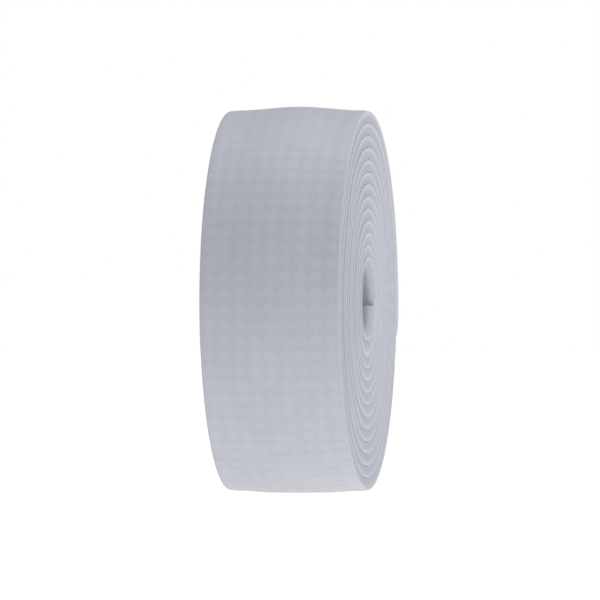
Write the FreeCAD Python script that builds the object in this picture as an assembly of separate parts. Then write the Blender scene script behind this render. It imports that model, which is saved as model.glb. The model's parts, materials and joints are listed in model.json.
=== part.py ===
import FreeCAD, Part
import math
import os

# A roll of foam grip tape.  One long laminated strip is wound round nothing but itself:
# an embossed skin outside, a foam core, and along the middle of the back a strip of
# adhesive under its release liner.  The outer end of the strip lifts off as a tail.
#
# The roll's axis lies along X.  The strip starts beside the hole, winds outward clockwise
# when it is looked at from the +X end, and its outer end lies on the +Y side.
# Lengths are in millimetres and angles in degrees, measured about X from +Y towards +Z.
#
# The spiral is made of half turns.  Every lower half turn is centred on the roll's axis
# and every upper one half a pitch further to +Y, so each half turn meets the next tangent
# to it and every face is a piece of a cylinder, a cone or a plane.

# Strip
TAPE_WIDTH = 30.0
SKIN_THICK = 0.3
FOAM_THICK = 2.15
ADHESIVE_THICK = 0.15
ADHESIVE_WIDTH = 12.0
LINER_THICK = 0.1
LINER_WIDTH = 14.0

# Winding
WINDING_GAP = 0.15
TURNS = 13
FIRST_RADIUS = 8.95
START_ANGLE = -3.5

# The backing strip makes the middle of the wound tape stand proud of its edges.
CROWN_RISE = 0.8
CROWN_TOP_WIDTH = 4.0
CROWN_FOOT_WIDTH = 24.0

# Where the roll stands, its foam gives and the crown is pressed flat over this length.
STANDING_FLAT = 12.0

# Tail: the last stretch of the strip, in equal segments that hinge at the skin.
TAIL_SEGMENTS = 9
SEGMENT_ANGLE = 10.0
TAIL_ROOT_ANGLE = 80.0
SEGMENT_GAP = 0.15
LIFTED_SEGMENTS = 3
LIFT_EXTRA_RADIUS = 1.2

# Derived sizes
STRIP_THICK = FOAM_THICK + SKIN_THICK
PITCH = STRIP_THICK + WINDING_GAP
HALF_WIDTH = TAPE_WIDTH / 2
LAST_RADIUS = FIRST_RADIUS + (TURNS - 1) * PITCH
TAIL_RADIUS = LAST_RADIUS + PITCH / 2
LIFT_ANGLE = TAIL_ROOT_ANGLE - (TAIL_SEGMENTS - LIFTED_SEGMENTS) * SEGMENT_ANGLE
LIFT_RADIUS = TAIL_RADIUS + LIFT_EXTRA_RADIUS
LIFT_CENTRE = (
    PITCH / 2 - LIFT_EXTRA_RADIUS * math.cos(math.radians(LIFT_ANGLE)),
    -LIFT_EXTRA_RADIUS * math.sin(math.radians(LIFT_ANGLE)),
)
CROWN_RADIUS = LAST_RADIUS + CROWN_RISE
FLAT_DEPTH = CROWN_RADIUS - math.sqrt(CROWN_RADIUS**2 - (STANDING_FLAT / 2) ** 2)

# The roll stands on the plane Z = 0, with the middle of its whole length in Y at Y = 0.
NEAR_Y = -CROWN_RADIUS
FAR_Y = LIFT_CENTRE[0] + LIFT_RADIUS + CROWN_RISE
AXIS_Y = -(NEAR_Y + FAR_Y) / 2
AXIS_Z = CROWN_RADIUS - FLAT_DEPTH

# Height range above the strip's back, and half width, of each layer
LAYERS = {
    "foam": (0.0, FOAM_THICK, HALF_WIDTH),
    "skin": (FOAM_THICK, STRIP_THICK, HALF_WIDTH),
    "adhesive": (LINER_THICK, LINER_THICK + ADHESIVE_THICK, ADHESIVE_WIDTH / 2),
    "liner": (0.0, LINER_THICK, LINER_WIDTH / 2),
}


def crown_at(x):
    """How far the strip stands out at x because of the backing under its middle."""
    foot = CROWN_FOOT_WIDTH / 2
    top = CROWN_TOP_WIDTH / 2
    share = (foot - abs(x)) / (foot - top)
    return CROWN_RISE * min(max(share, 0.0), 1.0)


def band_section(low, high, half_width, radius):
    """The section of one band of the strip whose outer face has this radius, at 90 degrees."""
    back = radius - STRIP_THICK
    bends = [CROWN_TOP_WIDTH / 2, CROWN_FOOT_WIDTH / 2]
    right = [x for x in bends if x < half_width] + [half_width]
    across = [-x for x in reversed(right)] + right
    under = [FreeCAD.Vector(x, 0, back + low + crown_at(x)) for x in across]
    over = [FreeCAD.Vector(x, 0, back + high + crown_at(x)) for x in reversed(across)]
    return Part.Face(Part.makePolygon(under + over + under[:1]))


def layer_section(layer, radius):
    """The section of a layer, with the foam recessed where the backing is pressed into it."""
    section = band_section(*LAYERS[layer], radius)
    if layer == "foam":
        for buried in ("adhesive", "liner"):
            section = section.cut(band_section(*LAYERS[buried], radius))
    return section.Faces[0]


def arc_of_layer(layer, arc):
    """One layer along one arc.  An arc is (centre y, centre z, outer radius, high, low angle)."""
    centre_y, centre_z, radius, high, low = arc
    origin = FreeCAD.Vector(0, 0, 0)
    along_x = FreeCAD.Vector(1, 0, 0)
    section = layer_section(layer, radius)
    section.rotate(origin, along_x, low - 90.0)
    solid = section.revolve(origin, along_x, high - low)
    solid.translate(FreeCAD.Vector(0, AXIS_Y + centre_y, AXIS_Z + centre_z))
    return solid


def strip_of_layer(layer, arcs):
    """One layer along arcs that follow each other, as one solid."""
    pieces = [arc_of_layer(layer, arc) for arc in arcs]
    if len(pieces) == 1:
        return pieces[0].Solids[0]
    return pieces[0].multiFuse(pieces[1:]).removeSplitter().Solids[0]


def lower_half_turn(turn, start=0.0):
    """The half turn under the axis, from the +Y side round the bottom to the -Y side."""
    return (0.0, 0.0, FIRST_RADIUS + turn * PITCH, start, -180.0)


def upper_half_turn(turn, end=0.0):
    """The half turn over the axis, from the -Y side over the top to the +Y side."""
    return (PITCH / 2, 0.0, FIRST_RADIUS + (turn + 0.5) * PITCH, 180.0, end)


def wound_turn(turn):
    """The two half turns of one turn, counted from 0 at the hole.  The last ends at the tail."""
    gap = math.degrees(SEGMENT_GAP / 2 / TAIL_RADIUS)
    start = START_ANGLE if turn == 0 else 0.0
    end = TAIL_ROOT_ANGLE + gap if turn == TURNS - 1 else 0.0
    return [lower_half_turn(turn, start), upper_half_turn(turn, end)]


def wound_turns(count):
    """The arcs of the first turns, from the hole outwards."""
    return [arc for turn in range(count) for arc in wound_turn(turn)]


def tail_segment(number):
    """The arc of one tail segment, numbered from the root, clear of its neighbours."""
    high = TAIL_ROOT_ANGLE - (number - 1) * SEGMENT_ANGLE
    low = high - SEGMENT_ANGLE
    lifted = number > TAIL_SEGMENTS - LIFTED_SEGMENTS
    centre_y, centre_z = LIFT_CENTRE if lifted else (PITCH / 2, 0.0)
    radius = LIFT_RADIUS if lifted else TAIL_RADIUS
    if lifted:
        # A larger circle takes the same length of strip with less turn.
        shorter = TAIL_RADIUS / LIFT_RADIUS
        high = LIFT_ANGLE - (LIFT_ANGLE - high) * shorter
        low = LIFT_ANGLE - (LIFT_ANGLE - low) * shorter
    gap = math.degrees(SEGMENT_GAP / 2 / radius)
    is_last = number == TAIL_SEGMENTS
    return (centre_y, centre_z, radius, high - gap, low + (0.0 if is_last else gap))


def hinge_point(number):
    """Where a tail segment hinges on the strip before it: on the skin's crown."""
    centre_y, centre_z, radius, high, _ = tail_segment(number)
    angle = math.radians(high + math.degrees(SEGMENT_GAP / 2 / radius))
    reach = radius + CROWN_RISE
    y = AXIS_Y + centre_y + reach * math.cos(angle)
    z = AXIS_Z + centre_z + reach * math.sin(angle)
    return FreeCAD.Vector(0, y, z)


def space_below(height):
    """A box that holds everything of the roll that lies below a height."""
    size = 4 * LAST_RADIUS
    return Part.makeBox(size, size, size, FreeCAD.Vector(-size / 2, -size / 2, height - size))


def pressed_flat(foam, skin):
    """The outermost turn's foam and skin, pressed flat where the roll stands on them."""
    given_way = foam.common(space_below(SKIN_THICK))
    foam = foam.cut(space_below(SKIN_THICK))
    skin = skin.fuse(given_way).cut(space_below(0.0)).removeSplitter()
    return foam.Solids[0], skin.Solids[0]


def build_nodes():
    """Every node's name and solid."""
    nodes = {}
    for turn in range(TURNS - 1):
        nodes[f"foam_turn_{turn + 1}"] = strip_of_layer("foam", wound_turn(turn))
    outermost = [strip_of_layer(layer, wound_turn(TURNS - 1)) for layer in ("foam", "skin")]
    nodes[f"foam_turn_{TURNS}"], nodes["skin_outer_turn"] = pressed_flat(*outermost)
    nodes["skin_inner_turns"] = strip_of_layer("skin", wound_turns(TURNS - 1))
    for layer in ("adhesive", "liner"):
        nodes[f"{layer}_wound"] = strip_of_layer(layer, wound_turns(TURNS))
    for number in range(1, TAIL_SEGMENTS + 1):
        for layer in LAYERS:
            nodes[f"{layer}_tail_{number}"] = strip_of_layer(layer, [tail_segment(number)])
    return nodes


def main():
    os.makedirs("parts", exist_ok=True)
    for name, solid in build_nodes().items():
        solid.exportStep(f"parts/{name}.step")
        print(f"{name}: {solid.Volume:.1f} mm3, valid {solid.isValid()}")


main()
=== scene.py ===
import json
import math

import bpy
import numpy as np
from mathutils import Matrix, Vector


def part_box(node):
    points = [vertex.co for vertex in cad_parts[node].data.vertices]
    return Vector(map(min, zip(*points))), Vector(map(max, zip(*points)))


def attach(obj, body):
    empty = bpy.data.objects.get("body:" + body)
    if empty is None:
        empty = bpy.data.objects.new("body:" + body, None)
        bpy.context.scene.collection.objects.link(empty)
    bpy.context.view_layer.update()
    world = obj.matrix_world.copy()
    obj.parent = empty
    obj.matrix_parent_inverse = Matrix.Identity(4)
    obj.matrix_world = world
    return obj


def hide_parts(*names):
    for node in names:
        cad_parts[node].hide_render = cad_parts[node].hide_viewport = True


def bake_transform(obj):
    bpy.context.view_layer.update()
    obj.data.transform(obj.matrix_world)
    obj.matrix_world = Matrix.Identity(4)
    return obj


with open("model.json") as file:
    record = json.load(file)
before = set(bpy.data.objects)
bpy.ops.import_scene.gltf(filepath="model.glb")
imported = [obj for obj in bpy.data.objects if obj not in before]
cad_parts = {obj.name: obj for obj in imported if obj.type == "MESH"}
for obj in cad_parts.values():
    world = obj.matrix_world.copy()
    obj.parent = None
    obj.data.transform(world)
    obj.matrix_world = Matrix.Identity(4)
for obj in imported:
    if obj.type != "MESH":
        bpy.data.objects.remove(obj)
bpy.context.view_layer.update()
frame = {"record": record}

# Lengths are in metres.  A place along the strip is its winding angle: the angle in degrees
# that the strip has turned since it left the +Y side of the hole, outwards.
MM = 0.001

# The strip, as the CAD has it
TURNS = 13
PITCH = 2.6 * MM
STRIP_THICK = 2.45 * MM
SKIN_THICK = 0.3 * MM
FOAM_THICK = STRIP_THICK - SKIN_THICK
ADHESIVE_THICK = 0.15 * MM
ADHESIVE_WIDTH = 12 * MM
LINER_THICK = 0.1 * MM
LINER_WIDTH = 14 * MM
FIRST_RADIUS = 8.95 * MM
START_WINDING = 3.5
TAIL_SEGMENTS = 9
LIFTED_SEGMENTS = 3
SEGMENT_WINDING = 10.0
LIFT_EXTRA_RADIUS = 1.2 * MM
CROWN_RISE = 0.8 * MM
CROWN_WIDTH = 28 * MM

LAST_RADIUS = FIRST_RADIUS + (TURNS - 1) * PITCH
TAIL_RADIUS = LAST_RADIUS + PITCH / 2
LIFT_RADIUS = TAIL_RADIUS + LIFT_EXTRA_RADIUS
ROOT_WINDING = 360.0 * TURNS - 80.0
LIFT_WINDING = ROOT_WINDING + (TAIL_SEGMENTS - LIFTED_SEGMENTS) * SEGMENT_WINDING
END_WINDING = ROOT_WINDING + TAIL_SEGMENTS * SEGMENT_WINDING
LIFT_ANGLE = 360.0 * TURNS - LIFT_WINDING

# Where the roll lies in the frame
HALF_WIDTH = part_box("foam_turn_6")[1].x
AXIS_Y = next(m for m in frame["record"]["mounts"] if m["name"] == "rim_flat")["pos_m"][1]
AXIS_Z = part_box("skin_outer_turn")[1].z - TAIL_RADIUS - CROWN_RISE

# The cut edge: the skin's corner is rounded over, the foam draws back behind it, and the
# foam's back spreads until it touches the turn inside.
EDGE_ROUND_WIDTH = 0.45 * MM
EDGE_ROUND_DROP = 0.12 * MM
FOAM_DRAWN_BACK = 0.25 * MM
FOAM_CURL = 0.5 * MM
FOAM_SPREAD = 0.16 * MM

# The whole strip bends in a little towards its edges.
EDGE_BEND_WIDTH = 2.2 * MM
EDGE_BEND = 0.15 * MM

# The strip's stiff end doesn't follow the first turn round the bottom of the hole.  Its
# middle and reach are winding angles.
FLATTENED_BY = 0.85 * MM
FLATTENED_MIDDLE = 88.0
FLATTENED_REACH = 48.0
# The share of the room which that leaves that the next turn's foam swells into
SWELLING = 0.85

# Round the hole nothing holds the foam's inner edge, so the foam rounds away from the end
# faces and gets thinner towards them, which flares the hole.  The turn's end and fade are
# winding angles.
HOLE_ROUND = 0.35 * MM
HOLE_FLARE = 0.5
HOLE_FLARE_WIDTH = 1.7 * MM
HOLE_TURN_END = 364.0
HOLE_TURN_FADE = 14.0

# The cut squeezed the strip's outer end thin, by this share over this winding angle.
END_THINNED = 0.75
END_REACH = 5.5

# How far the strip wandered sideways as it was wound, and the waves that make that up: the
# share, the rate in radians a turn and the phase of each
WANDER = 0.06 * MM
WANDER_WAVES = ((1.0, 2.1, 0.6), (0.7, 5.3, 0.0), (0.4, 11.7, 2.0))

# Embossed pattern: diamonds that stand point to point in rows across the strip
DIAMOND_PITCH = 3.3 * MM
DIAMOND_HEIGHT = 0.025 * MM
DIAMOND_SHARPNESS = 3.2

# Pores in the foam's cut sides
PORE_DEPTH = 0.035 * MM
SEED = 11

# The foam's back: a recess with room for the backing, and bands next to the cut sides that carry
# the cut sides' painted shade round the back edge, greyer towards the sides
RECESS_ROOM = 0.15 * MM
RECESS_SLOPE = 0.3 * MM
RECESS_BEND = 3.0 * MM
BACK_INSET = 0.05 * MM
BACK_BAND_END = 9.0 * MM
BACK_BAND_POINTS = 14
BACK_BAND_PAINTED_SHADE = 0.75

# How finely the meshes are divided: along the strip, across it, and at its rounded edges
SKIN_STEP = 0.33 * MM
FOAM_STEP = 0.45 * MM
PLAIN_STEP = 1.2 * MM
COARSE_ACROSS = 2.5 * MM
PLAIN_ACROSS = 3 * MM
ROUNDED_AT = (25.0, 45.0, 60.0, 75.0, 90.0)
SIDE_POINTS = 9
SIDE_CROWDING = 1.6
BAND_POINTS = 9
CORNER_WITHIN = MM / 1000


def crown_at(x):
    """The share of the crown's rise at x."""
    return np.cos(math.pi * np.clip(x / CROWN_WIDTH, -0.5, 0.5)) ** 2


def along_strip(winding):
    """Centre y and z, outer radius, angle in radians and outer length at winding angles."""
    winding = np.asarray(winding, float)
    half_turn = np.clip(np.floor(winding / 180.0), 0, 2 * TURNS - 1)
    radius = FIRST_RADIUS + half_turn * PITCH / 2
    centre_y = np.where(half_turn % 2 == 1, PITCH / 2, 0.0)
    centre_z = np.zeros_like(winding)
    angle = -winding
    before = math.pi * (FIRST_RADIUS * half_turn + PITCH / 4 * half_turn * (half_turn - 1))
    length = before + radius * np.radians(winding - 180.0 * half_turn)
    lifted = winding > LIFT_WINDING
    lift = math.radians(LIFT_ANGLE)
    radius = np.where(lifted, LIFT_RADIUS, radius)
    centre_y = np.where(lifted, PITCH / 2 - LIFT_EXTRA_RADIUS * math.cos(lift), centre_y)
    centre_z = np.where(lifted, -LIFT_EXTRA_RADIUS * math.sin(lift), centre_z)
    eased = LIFT_ANGLE - (winding - LIFT_WINDING) * TAIL_RADIUS / LIFT_RADIUS
    angle = np.where(lifted, eased, angle)
    return centre_y, centre_z, radius, np.radians(angle), length


def bent_in(x):
    """How far the strip stands in at x because its edges bend inwards."""
    share = np.clip((np.abs(x) - HALF_WIDTH + EDGE_BEND_WIDTH) / EDGE_BEND_WIDTH, 0.0, 1.0)
    return EDGE_BEND * share * share


def flattened(winding):
    """How far the first turn stands in from its circle."""
    away = np.clip(np.abs(winding - FLATTENED_MIDDLE) / FLATTENED_REACH, 0.0, 1.0)
    return FLATTENED_BY * (1 - away * away) ** 2


def thickness_left(winding):
    """The share of its thickness that the strip has here."""
    near_end = np.clip((winding - END_WINDING + END_REACH) / END_REACH, 0.0, 1.0)
    return 1 - END_THINNED * near_end * near_end


def beside_hole(winding, x):
    """How much the foam is part of the hole's free edge, from 0 to 1."""
    turn_share = np.clip((HOLE_TURN_END - winding) / HOLE_TURN_FADE, 0.0, 1.0)
    edge_share = np.clip((np.abs(x) - HALF_WIDTH + HOLE_FLARE_WIDTH) / HOLE_FLARE_WIDTH, 0.0, 1.0)
    return turn_share * edge_share**2


def foam_depth(height):
    """How deep in the foam a height lies, from 0 under the skin to 1 at its back."""
    return np.clip(-(height + SKIN_THICK) / FOAM_THICK, 0.0, 1.0)


def wander(winding):
    """How far the strip lies to one side."""
    turn = winding / 360.0
    return WANDER * sum(part * np.sin(rate * turn + phase) for part, rate, phase in WANDER_WAVES)


def relief(length, x):
    """The embossed pattern's height, from -1 to 1."""
    rows = np.cos(2 * math.pi * length / DIAMOND_PITCH)
    columns = np.cos(2 * math.pi * x / DIAMOND_PITCH)
    return np.tanh(DIAMOND_SHARPNESS * (rows + columns))


def strip_points(winding, section):
    """The points of a section at each winding angle, as an array of stations by points."""
    centre_y, centre_z, radius, angle, length = (v[:, None] for v in along_strip(winding))
    turn = winding[:, None]
    x = np.broadcast_to(section["x"][None, :], (len(winding), len(section["x"])))
    height = section["height"][None, :] * thickness_left(turn) - STRIP_THICK
    growth = np.clip(turn / (360.0 * TURNS), 0.0, 1.0)
    out = radius + height + CROWN_RISE * growth * crown_at(x) - bent_in(x) - flattened(turn)
    out = out - np.clip(-height / FOAM_THICK, 0.0, 1.0) * SWELLING * flattened(turn - 360.0)
    out = out + HOLE_FLARE * beside_hole(turn, x) * foam_depth(height) * FOAM_THICK
    out = out + section["relief"][None, :] * DIAMOND_HEIGHT * relief(length, x)
    y = AXIS_Y + centre_y + out * np.cos(angle)
    z = AXIS_Z + centre_z + out * np.sin(angle)
    # The rim is pressed flat where it stands on the floor.
    z = np.maximum(z, -height)
    drawn_in = np.sign(x) * HOLE_ROUND * beside_hole(turn, x) * foam_depth(height) ** 2
    return np.stack([x + wander(turn) - drawn_in, y, z], axis=2)


def unit(vectors):
    """The vectors at length 1."""
    return vectors / np.maximum(np.linalg.norm(vectors, axis=-1, keepdims=True), 1e-12)


def ribbon(name, start, end, step, section, roughness=0.0):
    """A closed mesh of one layer of the strip between two winding angles.

    Its normals come from the strip's own surface, so pieces that meet end to end shade as one.
    """
    radius = float(along_strip([start])[2][0])
    stations = max(2, math.ceil(math.radians(end - start) * radius / step) + 1)
    gap = (end - start) / (stations - 1)
    winding = start + gap * np.arange(-1, stations + 1)
    points = strip_points(winding, section)
    if roughness:
        random = np.random.default_rng(SEED + int(start))
        dents = random.random(points.shape[:2]) * section["side"][None, :] * roughness
        # The ends stay smooth, where pieces meet.
        dents[[0, 1, -2, -1]] = 0.0
        points[:, :, 0] -= dents * np.sign(section["x"])[None, :]

    ahead = points[2:] - points[:-2]
    points = points[1:-1]
    onward = np.roll(points, -1, axis=1) - points
    smooth = unit(onward) + unit(np.roll(onward, 1, axis=1))
    hard = section["hard"][None, :, None]
    hard_next, smooth_next, ahead_next = (np.roll(v, -1, axis=1) for v in (hard, smooth, ahead))
    at_start = unit(np.cross(np.where(hard, onward, smooth), ahead))
    at_end = unit(np.cross(np.where(hard_next, onward, smooth_next), ahead_next))

    count = points.shape[1]
    index = np.arange(points.size // 3).reshape(points.shape[:2])
    right = np.roll(index, -1, axis=1)
    quads = np.stack([index[:-1], right[:-1], right[1:], index[1:]], axis=2).reshape(-1, 4)
    normals = np.stack([at_start[:-1], at_end[:-1], at_end[1:], at_start[1:]], axis=2)
    normals = normals.reshape(-1, 3)
    caps = [list(index[0][::-1]), list(index[-1])]
    first_cap = np.repeat(-unit(ahead[0]).mean(0)[None], count, 0)
    last_cap = np.repeat(unit(ahead[-1]).mean(0)[None], count, 0)

    mesh = bpy.data.meshes.new(name)
    mesh.from_pydata(points.reshape(-1, 3).tolist(), [], quads.tolist() + caps)
    for polygon in mesh.polygons:
        polygon.use_smooth = True
    # The painted shade attribute paints shade into the base colour: between the embossed
    # diamonds, on the foam's recessed cut sides and on the bands of the foam's back next to them.
    length = along_strip(winding[1:-1])[4][:, None]
    embossed = section["relief"][None, :] * relief(length, section["x"][None, :])
    painted_shade = embossed + section["side"][None, :]
    mesh.attributes.new("painted_shade", "FLOAT", "POINT").data.foreach_set("value", painted_shade.ravel())
    mesh.normals_split_custom_set(np.concatenate([normals, first_cap, last_cap]).tolist())
    piece = bpy.data.objects.new(name, mesh)
    bpy.context.scene.collection.objects.link(piece)
    return piece


def section_of(parts):
    """A closed section, from lists of (x, height, relief, side, hard) in order round it; side
    sets the pore dents and the painted shade of the cut sides.
    """
    table = np.array([point for part in parts for point in part], float)
    x, height, raised, side, hard = table.T
    return {"x": x, "height": height, "relief": raised, "side": side, "hard": hard > 0.5}


def edge_drop(x):
    """How far the strip's outer face falls away at its rounded edge."""
    share = np.clip((abs(x) - HALF_WIDTH + EDGE_ROUND_WIDTH) / EDGE_ROUND_WIDTH, 0.0, 1.0)
    return EDGE_ROUND_DROP * (1 - math.sqrt(1 - share * share))


def across(step):
    """Evenly spaced x from left to right, with the rounded edges in finer steps."""
    flat = HALF_WIDTH - EDGE_ROUND_WIDTH
    count = max(1, round(2 * flat / step))
    middle = np.linspace(-flat, flat, count + 1)
    rim = flat + EDGE_ROUND_WIDTH * np.sin(np.radians(ROUNDED_AT))
    return np.concatenate([-rim[::-1], middle, rim])


def is_corner(x, half_width):
    return abs(x) > half_width - CORNER_WITHIN


def face_points(step, top, raised):
    """One face of the strip from left to right, embossed by a share on its flat part."""
    points = []
    for x in across(step):
        is_flat = abs(x) < HALF_WIDTH - EDGE_ROUND_WIDTH
        height = top - edge_drop(x)
        points.append((x, height, raised if is_flat else 0.0, 0.0, is_corner(x, HALF_WIDTH)))
    return points


def skin_section(step):
    """The skin: an embossed outer face, two cut sides and a plain inner face."""
    outer = face_points(step, STRIP_THICK, 1.0)
    inner = face_points(PLAIN_ACROSS, FOAM_THICK, 0.0)[::-1]
    return section_of([outer, inner])


def foam_side(sign, top):
    """A cut side of the foam from its top edge down to its back edge, drawn back as it goes, with
    painted shade that deepens as it goes.
    """
    rows = []
    for step in range(1, SIDE_POINTS + 1):
        depth = (top + FOAM_SPREAD) * (step / SIDE_POINTS) ** SIDE_CROWDING
        cut = 1.0 - math.exp(-depth / FOAM_CURL)
        x = sign * (HALF_WIDTH - FOAM_DRAWN_BACK * cut)
        rows.append((x, top - depth, 0.0, cut, step == SIDE_POINTS))
    return rows


def foam_section():
    """The foam: its face under the skin, two cut sides, and a back with room for the backing."""
    under_skin = face_points(PLAIN_ACROSS, FOAM_THICK, 0.0)
    top = FOAM_THICK - EDGE_ROUND_DROP
    right = foam_side(1, top)
    left = foam_side(-1, top)[::-1]
    rim = HALF_WIDTH - FOAM_DRAWN_BACK - BACK_INSET
    # These bands carry the cut sides' painted shade round the back edge, fading towards the
    # middle.
    band = [
        (x, -FOAM_SPREAD, 0.0, BACK_BAND_PAINTED_SHADE * x / rim, False)
        for x in np.linspace(rim, BACK_BAND_END, BACK_BAND_POINTS)
    ]
    deep = ADHESIVE_THICK + LINER_THICK
    wall = LINER_WIDTH / 2 + RECESS_ROOM
    half_recess = [
        (x, height, 0.0, 0.0, False)
        for x, height in ((wall + RECESS_SLOPE, -FOAM_SPREAD), (wall, deep), (RECESS_BEND, deep))
    ]
    back = band + half_recess
    mirrored = [(-x, *rest) for x, *rest in back[::-1]]
    return section_of([under_skin, right, back, mirrored, left])


def band_section(low, high, half_width):
    """A flat band of the backing."""
    xs = np.linspace(-half_width, half_width, BAND_POINTS)
    over = [(x, high, 0.0, 0.0, is_corner(x, half_width)) for x in xs]
    under = [(x, low, 0.0, 0.0, is_corner(x, half_width)) for x in xs[::-1]]
    return section_of([over, under])


# Materials

def new_material(name):
    """A material, its nodes, its links and its shader."""
    material = bpy.data.materials.new(name)
    material.use_nodes = True
    nodes, links = material.node_tree.nodes, material.node_tree.links
    return material, nodes, links, nodes["Principled BSDF"]


def noise(nodes, links, coordinates, scale, detail=3.0, roughness=0.5):
    """A noise texture's factor, its scale in patches per metre."""
    texture = nodes.new("ShaderNodeTexNoise")
    texture.inputs["Scale"].default_value = scale
    texture.inputs["Detail"].default_value = detail
    texture.inputs["Roughness"].default_value = roughness
    links.new(coordinates, texture.inputs["Vector"])
    return texture.outputs["Fac"]


def ramp(nodes, links, factor, low, high, from_value=0.3, to_value=0.7):
    """A colour between two colours as the factor goes from one value to the other."""
    colours = nodes.new("ShaderNodeValToRGB")
    colours.color_ramp.elements[0].position = from_value
    colours.color_ramp.elements[0].color = (*low, 1.0)
    colours.color_ramp.elements[1].position = to_value
    colours.color_ramp.elements[1].color = (*high, 1.0)
    links.new(factor, colours.inputs["Fac"])
    return colours.outputs["Color"]


def bump(nodes, links, height, distance, strength):
    """A normal that follows a height, its distance in metres."""
    bumps = nodes.new("ShaderNodeBump")
    bumps.inputs["Strength"].default_value = strength
    bumps.inputs["Distance"].default_value = distance
    links.new(height, bumps.inputs["Height"])
    return bumps.outputs["Normal"]


def apply_painted_shade(nodes, links, colour, shader, low, high):
    """The base colour: a colour times a grey that goes from low to high with the strip's painted
    shade attribute, which paints shade into the colour.
    """
    painted_shade = nodes.new("ShaderNodeAttribute")
    painted_shade.attribute_name = "painted_shade"
    grey = ramp(nodes, links, painted_shade.outputs["Fac"], (low,) * 3, (high,) * 3, 0.0, 1.0)
    mix = nodes.new("ShaderNodeMix")
    mix.data_type = "RGBA"
    mix.blend_type = "MULTIPLY"
    mix.inputs["Factor"].default_value = 1.0
    links.new(colour, mix.inputs["A"])
    links.new(grey, mix.inputs["B"])
    links.new(mix.outputs["Result"], shader.inputs["Base Color"])


def skin_material():
    """White polyurethane film with a fine leathery grain, and painted shade between the embossed
    diamonds so that their tops look lighter.
    """
    material, nodes, links, shader = new_material("skin_film")
    place = nodes.new("ShaderNodeTexCoord").outputs["Object"]
    patches = noise(nodes, links, place, 160.0, 4.0)
    colour = ramp(nodes, links, patches, (0.556, 0.563, 0.612), (0.582, 0.589, 0.638))
    # Painted shade: the skin is darkened down to 0.96 of its colour between the embossed
    # diamonds, standing in for the relief's shading.
    apply_painted_shade(nodes, links, colour, shader, 0.96, 1.0)
    grain = noise(nodes, links, place, 3500.0, 2.0)
    links.new(bump(nodes, links, grain, 0.02 * MM, 0.5), shader.inputs["Normal"])
    links.new(ramp(nodes, links, grain, (0.46,) * 3, (0.60,) * 3), shader.inputs["Roughness"])
    shader.inputs["Sheen Weight"].default_value = 0.15
    return material


def foam_material():
    """White closed-cell foam with darker pores, and painted shade on its cut sides that deepens
    behind the skin's lip.
    """
    material, nodes, links, shader = new_material("foam_core")
    place = nodes.new("ShaderNodeTexCoord").outputs["Object"]
    cells = nodes.new("ShaderNodeTexVoronoi")
    cells.inputs["Scale"].default_value = 4200.0
    links.new(place, cells.inputs["Vector"])
    pores = cells.outputs["Distance"]
    colour = ramp(nodes, links, pores, (0.64, 0.65, 0.71), (0.69, 0.70, 0.76), 0.1, 0.6)
    # Painted shade: the cut sides darken from 0.9 to 0.675 of the colour as they recede behind
    # the skin's lip.
    apply_painted_shade(nodes, links, colour, shader, 0.9, 0.675)
    links.new(bump(nodes, links, pores, 0.08 * MM, 0.6), shader.inputs["Normal"])
    shader.inputs["Roughness"].default_value = 0.9
    return material


def adhesive_material():
    """Cloudy film, a little yellow and half glossy."""
    material, nodes, links, shader = new_material("adhesive_film")
    place = nodes.new("ShaderNodeTexCoord").outputs["Object"]
    patches = noise(nodes, links, place, 900.0)
    colour = ramp(nodes, links, patches, (0.66, 0.64, 0.55), (0.74, 0.72, 0.64))
    links.new(colour, shader.inputs["Base Color"])
    links.new(bump(nodes, links, patches, 0.03 * MM, 0.5), shader.inputs["Normal"])
    shader.inputs["Roughness"].default_value = 0.35
    return material


def liner_material():
    """Smooth white release paper."""
    material, nodes, links, shader = new_material("liner_paper")
    place = nodes.new("ShaderNodeTexCoord").outputs["Object"]
    fibres = noise(nodes, links, place, 2600.0, 4.0)
    colour = ramp(nodes, links, fibres, (0.76, 0.76, 0.74), (0.84, 0.84, 0.82))
    links.new(colour, shader.inputs["Base Color"])
    links.new(bump(nodes, links, fibres, 0.01 * MM, 0.4), shader.inputs["Normal"])
    shader.inputs["Roughness"].default_value = 0.4
    return material


MATERIALS = {
    "skin": skin_material(),
    "foam": foam_material(),
    "adhesive": adhesive_material(),
    "liner": liner_material(),
}


def finished(piece, layer):
    """Gives a piece its material."""
    piece.data.materials.append(MATERIALS[layer])
    return piece


# The strip, layer by layer

BACKING = {
    "adhesive": band_section(LINER_THICK, LINER_THICK + ADHESIVE_THICK, ADHESIVE_WIDTH / 2),
    "liner": band_section(0.0, LINER_THICK, LINER_WIDTH / 2),
}
FOAM = foam_section()
FINE_SKIN = skin_section(SKIN_STEP)
COARSE_SKIN = skin_section(COARSE_ACROSS)

# The tail's first piece starts half a segment before its root, so that it spans the root.
TAIL_START = ROOT_WINDING - SEGMENT_WINDING / 2
# The turn under the tail is embossed too, because it shows when the tail is peeled off.  The
# embossed skin starts two segments before that.
UNDER_TAIL = TAIL_START - 360.0 - 2 * SEGMENT_WINDING


def wound(name, layer, start, end, step, section, replaced, roughness=0.0):
    """A piece of the wound part, in place of one of the CAD's nodes."""
    piece = finished(ribbon(name, start, end, step, section, roughness), layer)
    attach(piece, "roll")
    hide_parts(replaced)


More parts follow.
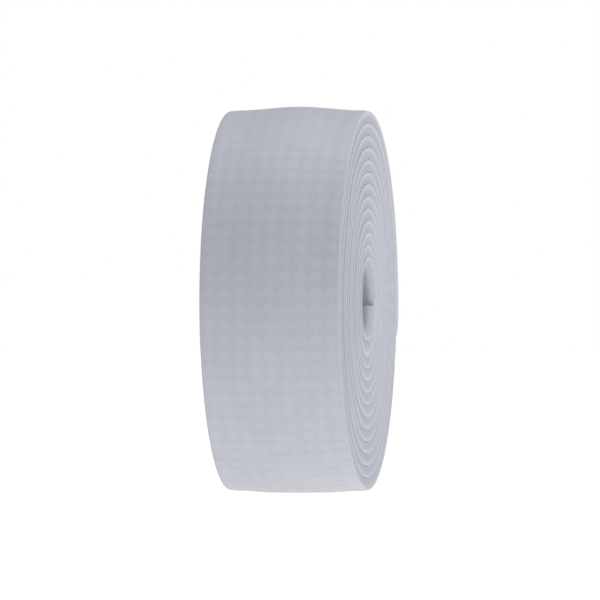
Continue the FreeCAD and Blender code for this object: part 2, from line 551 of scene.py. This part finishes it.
def build_roll():
    """The wound part of the strip."""
    for turn in range(TURNS):
        start = START_WINDING if turn == 0 else 360.0 * turn
        end = TAIL_START if turn == TURNS - 1 else 360.0 * (turn + 1)
        name = f"tape_foam_turn_{turn + 1}"
        wound(name, "foam", start, end, FOAM_STEP, FOAM, f"foam_turn_{turn + 1}", PORE_DEPTH)
    inner = (START_WINDING, UNDER_TAIL, PLAIN_STEP, COARSE_SKIN)
    wound("tape_skin_inner", "skin", *inner, "skin_inner_turns")
    outer = (UNDER_TAIL, TAIL_START, SKIN_STEP, FINE_SKIN)
    wound("tape_skin_outer", "skin", *outer, "skin_outer_turn")
    for layer, section in BACKING.items():
        whole = (START_WINDING, TAIL_START, PLAIN_STEP, section)
        wound(f"tape_{layer}_roll", layer, *whole, f"{layer}_wound")


def build_tail():
    """The tail, in pieces that each span one hinge and meet in the middle of a segment."""
    layers = {"foam": (FOAM_STEP, FOAM, PORE_DEPTH), "skin": (SKIN_STEP, FINE_SKIN, 0.0)}
    layers.update({layer: (PLAIN_STEP, section, 0.0) for layer, section in BACKING.items()})
    for number in range(1, TAIL_SEGMENTS + 1):
        start = TAIL_START + (number - 1) * SEGMENT_WINDING
        bent = start + SEGMENT_WINDING
        end = END_WINDING if number == TAIL_SEGMENTS else bent
        for layer, look in layers.items():
            piece = finished(ribbon(f"tape_{layer}_tail_{number}", start, end, *look), layer)
            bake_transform(piece)
            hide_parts(f"{layer}_tail_{number}")


build_roll()
build_tail()


# Studio, lengths in metres

CENTRE = Vector((0.0, AXIS_Y, AXIS_Z))

FLOOR_REACH = 9.0
FLOOR_GREY = 0.35
FLOOR_GLOW_SEEN = 1.0
FLOOR_GLOW_LIT = 0.77

WORLD_LIT_COLOUR = (0.915, 0.935, 1.0)
WORLD_LIT_LEFT = 0.16
WORLD_LIT_RIGHT = 0.73

CAMERA_AZIMUTH = 9.15
CAMERA_DISTANCE = 3.5
CAMERA_SHIFT_RIGHT = 0.25 * MM
CAMERA_SHIFT_UP = 0.8 * MM
FRAME_WIDTH = 128.7 * MM
SENSOR_WIDTH = 36.0


def aimed(thing, target):
    """Turns a light or the camera towards a point."""
    direction = Vector(target) - thing.location
    thing.rotation_euler = direction.to_track_quat("-Z", "Y").to_euler()


def area_light(name, location, size, watts, colour=(1.0, 1.0, 1.0)):
    """A square light that points at the roll's middle."""
    lamp = bpy.data.lights.new(name, "AREA")
    lamp.shape = "RECTANGLE"
    lamp.size = size
    lamp.size_y = size
    lamp.energy = watts
    lamp.color = colour
    light = bpy.data.objects.new(name, lamp)
    bpy.context.scene.collection.objects.link(light)
    light.location = location
    aimed(light, CENTRE)


def build_floor():
    """Seen directly the floor is white; as light it is dimmer."""
    ways = ((-1, -1), (1, -1), (1, 1), (-1, 1))
    corners = [(FLOOR_REACH * x, FLOOR_REACH * y, 0.0) for x, y in ways]
    mesh = bpy.data.meshes.new("studio_floor")
    mesh.from_pydata(corners, [], [(0, 1, 2, 3)])
    floor = bpy.data.objects.new("studio_floor", mesh)
    bpy.context.scene.collection.objects.link(floor)
    material, nodes, links, shader = new_material("studio_floor")
    shader.inputs["Base Color"].default_value = (FLOOR_GREY, FLOOR_GREY, FLOOR_GREY, 1.0)
    shader.inputs["Roughness"].default_value = 0.9
    shader.inputs["Emission Color"].default_value = (1.0, 1.0, 1.0, 1.0)
    rays = nodes.new("ShaderNodeLightPath")
    glow = nodes.new("ShaderNodeMix")
    glow.inputs["A"].default_value = FLOOR_GLOW_LIT
    glow.inputs["B"].default_value = FLOOR_GLOW_SEEN
    links.new(rays.outputs["Is Camera Ray"], glow.inputs["Factor"])
    links.new(glow.outputs["Result"], shader.inputs["Emission Strength"])
    floor.data.materials.append(material)


def build_lights():
    area_light("light_above", (0.0, 0.15, 1.1), size=0.9, watts=4.9, colour=(0.96, 0.98, 1.0))
    area_light("light_right", (1.1, -0.15, 0.35), size=0.7, watts=2.3)


def build_world():
    """Seen directly the surroundings are white; as light they dim towards the left."""
    world = bpy.data.worlds.new("studio_world")
    bpy.context.scene.world = world
    world.use_nodes = True
    nodes, links = world.node_tree.nodes, world.node_tree.links
    seen = nodes["Background"]
    seen.inputs["Color"].default_value = (1.0, 1.0, 1.0, 1.0)
    seen.inputs["Strength"].default_value = 1.0
    lit = nodes.new("ShaderNodeBackground")
    lit.inputs["Color"].default_value = (*WORLD_LIT_COLOUR, 1.0)
    sides = nodes.new("ShaderNodeSeparateXYZ")
    links.new(nodes.new("ShaderNodeTexCoord").outputs["Generated"], sides.inputs["Vector"])
    strength = nodes.new("ShaderNodeMapRange")
    strength.inputs["From Min"].default_value = -1.0
    strength.inputs["From Max"].default_value = 1.0
    strength.inputs["To Min"].default_value = WORLD_LIT_LEFT
    strength.inputs["To Max"].default_value = WORLD_LIT_RIGHT
    links.new(sides.outputs["X"], strength.inputs["Value"])
    links.new(strength.outputs["Result"], lit.inputs["Strength"])
    mix = nodes.new("ShaderNodeMixShader")
    rays = nodes.new("ShaderNodeLightPath")
    links.new(rays.outputs["Is Camera Ray"], mix.inputs["Fac"])
    links.new(lit.outputs["Background"], mix.inputs[1])
    links.new(seen.outputs["Background"], mix.inputs[2])
    links.new(mix.outputs["Shader"], nodes["World Output"].inputs["Surface"])


def build_camera():
    """A long lens, level with the roll and turned a little towards its +X end."""
    camera = bpy.data.objects.new("camera", bpy.data.cameras.new("camera"))
    bpy.context.scene.collection.objects.link(camera)
    turn = math.radians(CAMERA_AZIMUTH)
    right = Vector((math.cos(turn), math.sin(turn), 0.0))
    target = CENTRE + right * CAMERA_SHIFT_RIGHT + Vector((0.0, 0.0, CAMERA_SHIFT_UP))
    camera.location = target + Vector((math.sin(turn), -math.cos(turn), 0.0)) * CAMERA_DISTANCE
    aimed(camera, target)
    camera.data.sensor_width = SENSOR_WIDTH
    camera.data.lens = SENSOR_WIDTH * CAMERA_DISTANCE / FRAME_WIDTH
    camera.data.clip_start = 0.1
    camera.data.clip_end = 30.0
    bpy.context.scene.camera = camera


build_floor()
build_lights()
build_world()
build_camera()
bpy.context.scene.view_settings.view_transform = "Standard"
